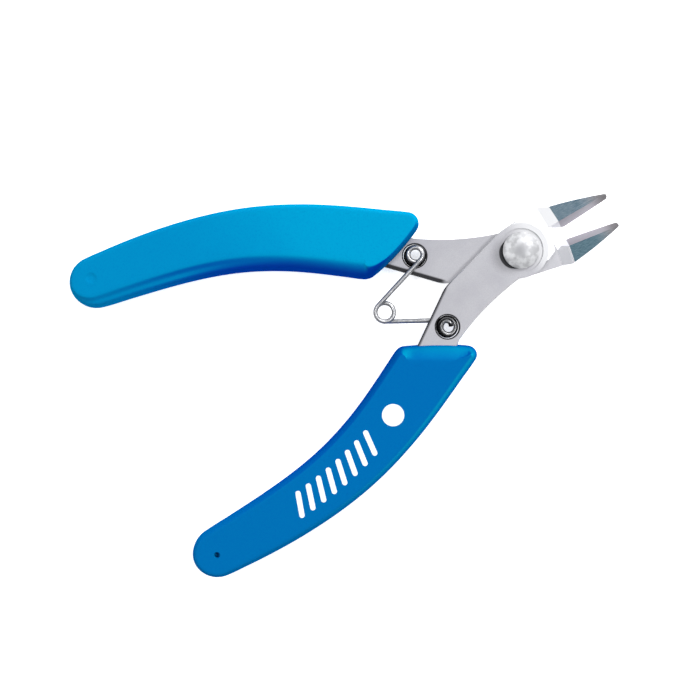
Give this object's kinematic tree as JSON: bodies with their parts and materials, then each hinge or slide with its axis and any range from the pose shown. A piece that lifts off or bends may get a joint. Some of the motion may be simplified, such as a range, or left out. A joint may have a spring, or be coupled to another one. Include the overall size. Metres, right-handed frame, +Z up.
{
  "type": "sprue nippers",
  "caption": "Spring-opened sprue nippers with two crossed steel levers on a domed rivet, short tapered flush-cutting jaws and curved slip-on moulded grips.",
  "frame": {"origin": "centre of the open tool's bounding box, on the plane that the backs of the grips rest on", "axes": "+X along the tool from the grips towards the jaws, +Z up along the pivot axis and out of the front face, +Y to the side of the upper grip"},
  "size_m": [0.1239, 0.0814, 0.0105],
  "materials": {
    "lever_steel": "satin blasted steel, ground bright on the jaws",
    "rivet_steel": "polished",
    "spring_wire": "drawn bright wire",
    "grip": "soft satin moulded PVC",
    "print": "pad-printed white ink"
  },
  "bodies": {
    "rear_half": {"rear_lever": "lever_steel", "upper_grip": "grip", "pivot_rivet": "rivet_steel"},
    "front_half": {"front_lever": "lever_steel", "lower_grip": "grip"},
    "spring_upper": {"spring_upper_arm": "spring_wire"},
    "spring_lower": {"spring_lower_arm": "spring_wire"}
  },
  "joints": [
    {"name": "lever_pivot", "type": "hinge", "parent": "rear_half", "child": "front_half", "pos_m": [0.0377, 0, 0.00525], "axis": [0, 0, -1], "range_deg": [0, 14.3], "stiffness_Nm_per_rad": 1.2},
    {"name": "spring_eye", "type": "hinge", "parent": "rear_half", "child": "spring_upper", "pos_m": [0.01482, 0.00937, 0.00525], "axis": [0, 0, -1], "range_deg": [0, 20.09]},
    {"name": "spring_coil", "type": "hinge", "parent": "spring_upper", "child": "spring_lower", "pos_m": [0.00263, 0, 0.00525], "axis": [0, 0, 1], "range_deg": [0, 25.78]}
  ],
  "couplings": [
    {"joint": "spring_eye", "follows": "lever_pivot", "ratio": 1.398},
    {"joint": "spring_coil", "follows": "lever_pivot", "ratio": 1.796}
  ]
}
